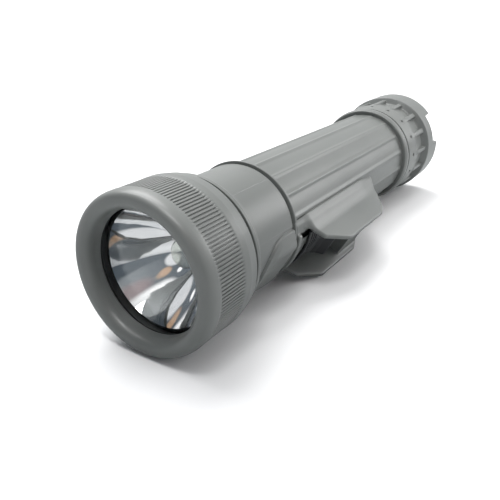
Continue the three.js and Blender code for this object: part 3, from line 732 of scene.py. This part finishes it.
def switch_housing():
    def field(x, s, z):
        rho = np.hypot(x, z)
        angle = np.degrees(np.arctan2(np.abs(z), x))
        width = rho * np.radians(angle - SEAM_ANGLE)
        rear = smooth(s, SEAM_END, HOUSING_END)
        top = 21.95 - 0.55 * smooth(angle, 35, 41) - 1.1 * rear
        skin = fillet_common(slab(rho, 20.5, 60), rho - top, 0.1)
        skin = fillet_common(skin, width + 1.5 * rear, 0.25)
        skin = fillet_common(skin, slab(s, HOUSING_START - 0.6, HOUSING_END + 0.2), 0.25)
        side = polygon(x, s, GUARD)
        wings = slab(np.abs(z), WING_INNER, WING_OUTER)
        wings = fillet_common(wings, side, 0.85)
        block = np.maximum(side, np.abs(z) - 10.8)
        bridge = fillet_common(block, np.maximum(BRIDGE_START - s, x - BRIDGE_TOP), 0.9)
        solid = fillet_join(wings, bridge, 1.0)
        solid = np.maximum(solid, 20.5 - rho)
        outer_side = smooth(np.abs(z), 10.6, 11.4)
        outside, inside = fillet_join(solid, skin, 4.5), fillet_join(solid, skin, 0.3)
        solid = np.where(outer_side > 0.5, outside, inside)
        between = np.maximum(np.abs(z) - WING_INNER, slab(s, WELL_START + 0.1, BRIDGE_START))
        solid = fillet_cut(solid, np.maximum(between, FLOOR_R - rho), 0.2)
        lip = fillet_common(slab(s, HOUSING_START - 0.7, WELL_START), np.abs(z) - FRONT_LIP_HALF, 0.6)
        lip = fillet_common(lip, rho - FRONT_LIP_R, 0.35)
        solid = fillet_join(solid, np.maximum(lip, 20.6 - rho), 0.3)
        plan = np.maximum(np.abs(z) - 10, slab(s, 60, 99))
        solid = np.minimum(solid, np.maximum(np.maximum(FLOOR_BACK - x, rho - FLOOR_R), plan))
        under = np.maximum(x - FLOOR_BACK, np.maximum(np.abs(z) - WING_INNER, slab(s, WELL_START, 107.6)))
        solid = np.maximum(solid, -under)
        stem = np.maximum(slab(s, 67.7, 77.7), np.abs(z) - 3.0)
        hole = np.maximum(slab(s, 87.7, 95.9), np.abs(z) - 5.3)
        solid = np.maximum(solid, -np.maximum(np.minimum(stem, hole), x - 26))
        return solid

    return net(field, (14.2, 57.8, -15.4), (33.2, 128.4, 15.4), 0.36)


def add_net(name, result, material, body, slot, nodes):
    points, faces, normals = result
    piece(name, points, faces, material, body, slot, nodes, normals=normals)


add_net("switch_housing_fine", switch_housing(), housing, "body", "housing", ["switch_housing"])


def switch_slide():
    rise = [(21.8, 74.6), (22.9, 74.9), (23.5, 77), (24.9, 79.6), (27.3, 82.2), (27.55, 83.2), (27.1, 84.5),
            (24.4, 85.3), (21.8, 85.7)]

    def field(x, s, z):
        rho = np.hypot(x, z)
        plate = fillet_common(slab(rho, 22.2, 23.1), np.maximum(np.abs(z) - 9.2, slab(s, 67.4, 86)), 0.25)
        for at in (69.4, 71.4, 73.4):
            plate = fillet_cut(plate, np.maximum(slab(s, at - 0.42, at + 0.42), 22.55 - rho), 0.12)
        thumb = fillet_common(polygon(x, s, rise), np.abs(z) - 4.7, 0.55)
        solid = fillet_join(plate, np.maximum(thumb, 22.2 - rho), 0.6)
        for at in (77.6, 79.3, 81.0):
            across = np.hypot(s - at, (x - (22.9 + (at - 74.5) * 0.62)) * 1.2) - 0.34
            solid = fillet_cut(solid, np.maximum(across, np.abs(z) - 3.9), 0.1)
        stem = np.maximum(slab(x, FLOOR_BACK, 22.6), np.maximum(np.abs(z) - 2.7, slab(s, 73, 77.4)))
        return np.minimum(solid, stem)

    return net(field, (19.9, 66.9, -9.8), (28.2, 86.6, 9.8), 0.24)


add_net("switch_slide_fine", switch_slide(), black, "slide", "switch_black", ["switch_slide"])


def signal_button():
    def field(x, s, z):
        u = np.abs(s - BUTTON_MIDDLE) - (BUTTON_HALF_LENGTH - BUTTON_CORNER)
        v = np.abs(z) - (BUTTON_HALF_WIDTH - BUTTON_CORNER)
        plan = np.hypot(np.maximum(u, 0), np.maximum(v, 0)) + np.minimum(np.maximum(u, v), 0)
        plan = plan - BUTTON_CORNER
        crown = x - BUTTON_TOP + 0.018 * (z * z + (s - BUTTON_MIDDLE) ** 2)
        solid = fillet_common(np.maximum(plan, FLOOR_R - x), crown, 0.8)
        dish = np.sqrt((x - BUTTON_TOP - 5.7) ** 2 + (s - BUTTON_MIDDLE) ** 2 + z ** 2) - 6.3
        return fillet_cut(solid, dish, 0.3)

    return net(field, (21.2, 87.2, -5.8), (26.4, 96.4, 5.8), 0.24)


add_net("signal_button_fine", signal_button(), black, "button", "switch_black", ["signal_button"])


# ---- tail ----------------------------------------------------------------------------------
def tail_cap():
    corners = [
        (CAP_FLOOR, CAP_STEP_R, 0.4), (SPIGOT_END + 2, CAP_STEP_R, 0.3), (SPIGOT_END + 1, CAP_BORE_R, 0.3),
        (CAP_START + 0.4, CAP_BORE_R, 0.2), (CAP_START + 0.4, CAP_R, 0.35),
        (WAIST_START, CAP_R + 0.3, 2.5), (WAIST_END, CAP_WAIST_R, 1.5),
        (RING_START, CAP_RING_R, 0.7), (LENGTH - 1.7, CAP_RING_R, 1.0), (LENGTH, CAP_RING_R - 1.6, 0.5),
        (LENGTH, CAP_END_R + 0.6, 0.4), (LENGTH - 0.9, CAP_END_R, 0.4), (LENGTH - 0.9, 9.4, 0.3),
        (LENGTH - 0.4, 9.0, 0.3),
    ]
    outline = rounded([(CAP_FLOOR, 0), *corners, (LENGTH - 0.4, 0)], 0.35)
    rib_pitch, notch_pitch = 360 / CAP_RIBS, 360 / NOTCHES
    fine = np.concatenate([RIB_PHASE + rib_pitch * k + np.arange(-3.6, 3.65, 0.3) for k in range(CAP_RIBS)])
    edge = np.concatenate([NOTCH_PHASE + notch_pitch * k + sign * np.arange(17.2, 18.9, 0.2)
                           for k in range(NOTCHES) for sign in (-1, 1)])
    angles = np.unique(np.round(np.concatenate([even(360), fine, edge]) % 360, 3))

    def shape(a, s, r):
        outer = r > 21.6
        off = np.abs(((a - RIB_PHASE + rib_pitch / 2) % rib_pitch) - rib_pitch / 2)
        across = off * math.pi / 180 * 23.5
        share = (1 - smooth(across, 0.85, 1.5)) * window(s, 184.6, 199.6, 0.6)
        top = 24.15 - 0.5 * (1 - smooth(s, 184.4, 187)) - 0.12 * (across / 1.2) ** 2
        r = np.where(outer, np.maximum(r, r + (top - r) * share), r)
        dot = np.hypot(across, (s - DOT_AT) * 0.9)
        r = np.where(outer & (s < 184), r - 0.8 * (1 - smooth(dot, 0.6, 1.0)), r)
        notch = np.abs(((a - NOTCH_PHASE + notch_pitch / 2) % notch_pitch) - notch_pitch / 2)
        gap = 1 - smooth(notch, NOTCH_HALF_ANGLE - 0.4, NOTCH_HALF_ANGLE + 0.4)
        gap = gap * smooth(s, NOTCH_START, NOTCH_START + 0.5)
        return s, np.where(r > NOTCH_R, r + (NOTCH_R - r) * gap, r)

    return lathe(outline, angles, shape)


piece("tail_cap_fine", *tail_cap(), housing, "cap", "housing", ["tail_cap"], sharp=34)


# ---- inside --------------------------------------------------------------------------------
def ring(s, radius, thickness):
    t = np.linspace(0, 2 * math.pi, 20, endpoint=False)
    outline = np.stack([s + thickness * np.cos(t), radius + thickness * np.sin(t)], 1)
    return lathe(outline, even(128))


piece("head_seal_fine", *ring(HEAD_SEAL_AT, 22.9, 0.75), seal, "body", "seal_rubber", ["head_seal"])
piece("tail_seal_fine", *ring(TAIL_SEAL_AT, 19.8, 0.65), seal, "body", "seal_rubber", ["tail_seal"])


def battery(name, start):
    end = start + CELL_LENGTH
    outline = rounded([(start, 0), (start, 4.6, 0.5), (start + 1.5, 4.75, 0.2), (start + 1.5, 15.6, 0.2),
                       (start + 0.9, 16.1, 0.3), (start + 0.9, CELL_R, 0.6), (end - 0.2, CELL_R, 0.6),
                       (end - 0.2, 15.8, 0.3), (end, 15.2, 0.2), (end, 0)])
    piece(name + "_fine", *lathe(outline, even(96)), jacket, "body", "cell_jacket", [name])


battery("battery_front", FRONT_CELL_START)
battery("battery_rear", REAR_CELL_START)
piece("tail_spring_fine", *sweep(helix(184, 206.2, 7, 13.5, 5), 0.6), steel, "spring_pack", "spring_steel",
      ["tail_spring"])
piece("contact_spring_fine", *sweep(helix(42.6, 45.4, 3.4, 3.4, 2), 0.3), steel, "body", "spring_steel",
      ["contact_spring"])

SLOT_MATERIALS = {"housing": housing, "switch_black": black, "insulator": insulator, "seal_rubber": seal,
                  "mirror": mirrored, "lens_clear": lens_clear, "bulb_glass": bulb_clear, "brass": brass,
                  "spring_steel": steel, "cell_jacket": jacket}
PLAIN_NODES = {"bulkhead": "insulator", "bulb_holder": "insulator", "spare_holder": "seal_rubber",
               "centre_contact": "brass", "front_strip": "brass", "rear_strip": "brass",
               "signal_leaf": "brass", "slide_contact": "brass", "tail_contact": "brass"}
for node, slot_name in PLAIN_NODES.items():
    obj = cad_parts[node]
    obj.data.materials.clear()
    obj.data.materials.append(SLOT_MATERIALS[slot_name])
    edge = obj.modifiers.new("edge", "BEVEL")
    edge.width = 0.00012
    edge.segments = 2
    edge.limit_method = "ANGLE"
    edge.angle_limit = math.radians(40)


# ---- studio --------------------------------------------------------------------------------
def floor_plane():
    """Pale floor under the light. To the camera it is white paper, and it fades to white far away."""
    size, slope = 3.0, math.tan(math.radians(0.45))
    y0, z0 = -0.192, -0.0270
    corners = [(-size, -size), (size, -size), (size, size), (-size, size)]
    mesh = bpy.data.meshes.new("floor")
    mesh.from_pydata([(x, y, z0 + (y - y0) * slope) for x, y in corners], [], [(0, 1, 2, 3)])
    obj = bpy.data.objects.new("floor", mesh)
    bpy.context.scene.collection.objects.link(obj)
    m = Nodes("floor_paper")
    paper = m.mix(m.noise(6, 4), linear(0xf1f2f3), linear(0xf8f8f8))
    seen = m.add("ShaderNodeLightPath").outputs["Is Camera Ray"]
    m.put(m.bsdf.inputs["Base Color"], m.mix(seen, linear(0xc4c6c7), paper))
    m.bsdf.inputs["Roughness"].default_value = 0.9
    m.bsdf.inputs["Specular IOR Level"].default_value = 0.0
    m.put(m.bsdf.inputs["Normal"], m.bump(m.noise(120, 4), 0.06, 0.0005))
    far = m.add("ShaderNodeVectorMath", operation="LENGTH")
    m.put(far.inputs[0], m.where)
    glow = m.math("MULTIPLY", m.span(far.outputs["Value"], 0.35, 1.0, 0, 1), seen)
    m.put(m.bsdf.inputs["Emission Color"], paper)
    m.put(m.bsdf.inputs["Emission Strength"], glow)
    mesh.materials.append(m.material)


floor_plane()


def area(name, place_at, target, size, watts):
    """A rectangular light; it never shows in the picture itself."""
    light = bpy.data.lights.new(name, "AREA")
    light.shape = "RECTANGLE"
    light.size, light.size_y = size
    light.energy = watts
    obj = bpy.data.objects.new(name, light)
    obj.location = place_at
    obj.rotation_mode = "QUATERNION"
    obj.rotation_quaternion = (Vector(target) - Vector(place_at)).to_track_quat("-Z", "Y")
    bpy.context.scene.collection.objects.link(obj)
    obj.visible_camera = False


area("key_light", (-0.52, 0.08, 0.93), (0, -0.1, 0), (0.8, 0.9), 15)
area("front_light", (0.10, -0.45, 1.1), (0, -0.2, 0), (0.3, 0.3), 2.2)
area("right_light", (1.1, 0.1, 0.7), (0, -0.1, 0), (0.6, 0.6), 0.3)
area("tail_light", (0.24, 0.22, 0.16), (0, 0.0, 0), (0.2, 0.2), 0.5)
for at in ((0.10, -0.42, 0.95), (0.24, -0.36, 0.95), (0.38, -0.30, 0.95)):
    area("lamp", at, (0, -0.2, 0), (0.06, 0.06), 0.5)


def studio():
    """A room: white behind and overhead, dark in front, with the patches that the reflector shows.

    The picture's own background is white, and the ceiling is brighter in reflections.
    """
    w = Nodes("studio", bpy.data.worlds.new("studio"))
    bpy.context.scene.world = w.material

    def lobe(azimuth, elevation, inner, outer):
        a, e = math.radians(azimuth), math.radians(elevation)
        towards = (math.sin(a) * math.cos(e), -math.cos(a) * math.cos(e), math.sin(e))
        dot = w.add("ShaderNodeVectorMath", operation="DOT_PRODUCT")
        w.put(dot.inputs[0], w.where)
        dot.inputs[1].default_value = towards
        ease = w.add("ShaderNodeMapRange", interpolation_type="SMOOTHSTEP")
        w.put(ease.inputs["Value"], dot.outputs["Value"])
        ease.inputs["From Min"].default_value = math.cos(math.radians(outer))
        ease.inputs["From Max"].default_value = math.cos(math.radians(inner))
        return ease.outputs["Result"]

    room = w.mix(lobe(180, 5, 60, 105), (0.12, 0.145, 0.175, 1), (1.0, 1.01, 1.02, 1))
    room = w.mix(lobe(25, 15, 13, 19), room, (1.1, 1.12, 1.14, 1))
    room = w.mix(lobe(34, 40, 4, 10), room, (0.75, 0.5, 0.33, 1))
    room = w.mix(lobe(70, 50, 6, 20), room, (0.3, 0.15, 0.16, 1))
    room = w.mix(lobe(2, 41, 2, 6), room, (1.8, 1.8, 1.8, 1))
    mirrored_view = w.add("ShaderNodeLightPath").outputs["Is Glossy Ray"]
    ceiling = w.mix(mirrored_view, (0.7, 0.7, 0.7, 1), (1.8, 1.8, 1.8, 1))
    room = w.mix(lobe(20, 80, 20, 30), room, ceiling)
    background = w.tree.nodes["Background"]
    w.put(background.inputs["Color"], room)
    background.inputs["Strength"].default_value = 0.8
    white = w.add("ShaderNodeBackground")
    white.inputs["Strength"].default_value = 1.3
    white.inputs["Color"].default_value = (1, 1, 1, 1)
    both = w.add("ShaderNodeMixShader")
    w.put(both.inputs[0], w.add("ShaderNodeLightPath").outputs["Is Camera Ray"])
    w.put(both.inputs[1], background.outputs[0])
    w.put(both.inputs[2], white.outputs[0])
    w.put(w.output.inputs["Surface"], both.outputs[0])


studio()
bpy.context.scene.view_settings.view_transform = "Standard"

# ---- camera --------------------------------------------------------------------------------
AZIMUTH, ELEVATION, CAMERA_ROLL = (math.radians(d) for d in (32.419, 24.662, 1.033))
CAMERA_AT = (0.107236, -0.322760, 0.078227)
camera_data = bpy.data.cameras.new("camera")
camera = bpy.data.objects.new("camera", camera_data)
bpy.context.scene.collection.objects.link(camera)
camera_data.lens = 41.0
camera_data.sensor_width = 36.0
camera_data.clip_start = 0.01
forward = Vector((-math.sin(AZIMUTH) * math.cos(ELEVATION), math.cos(AZIMUTH) * math.cos(ELEVATION),
                  -math.sin(ELEVATION)))
level = forward.cross(Vector((0, 0, 1))).normalized()
upright = level.cross(forward)
right = level * math.cos(CAMERA_ROLL) + upright * math.sin(CAMERA_ROLL)
up = right.cross(forward)
camera.matrix_world = Matrix((
    (right.x, up.x, -forward.x, CAMERA_AT[0]),
    (right.y, up.y, -forward.y, CAMERA_AT[1]),
    (right.z, up.z, -forward.z, CAMERA_AT[2]),
    (0, 0, 0, 1)))
bpy.context.scene.camera = camera

bpy.context.view_layer.update()
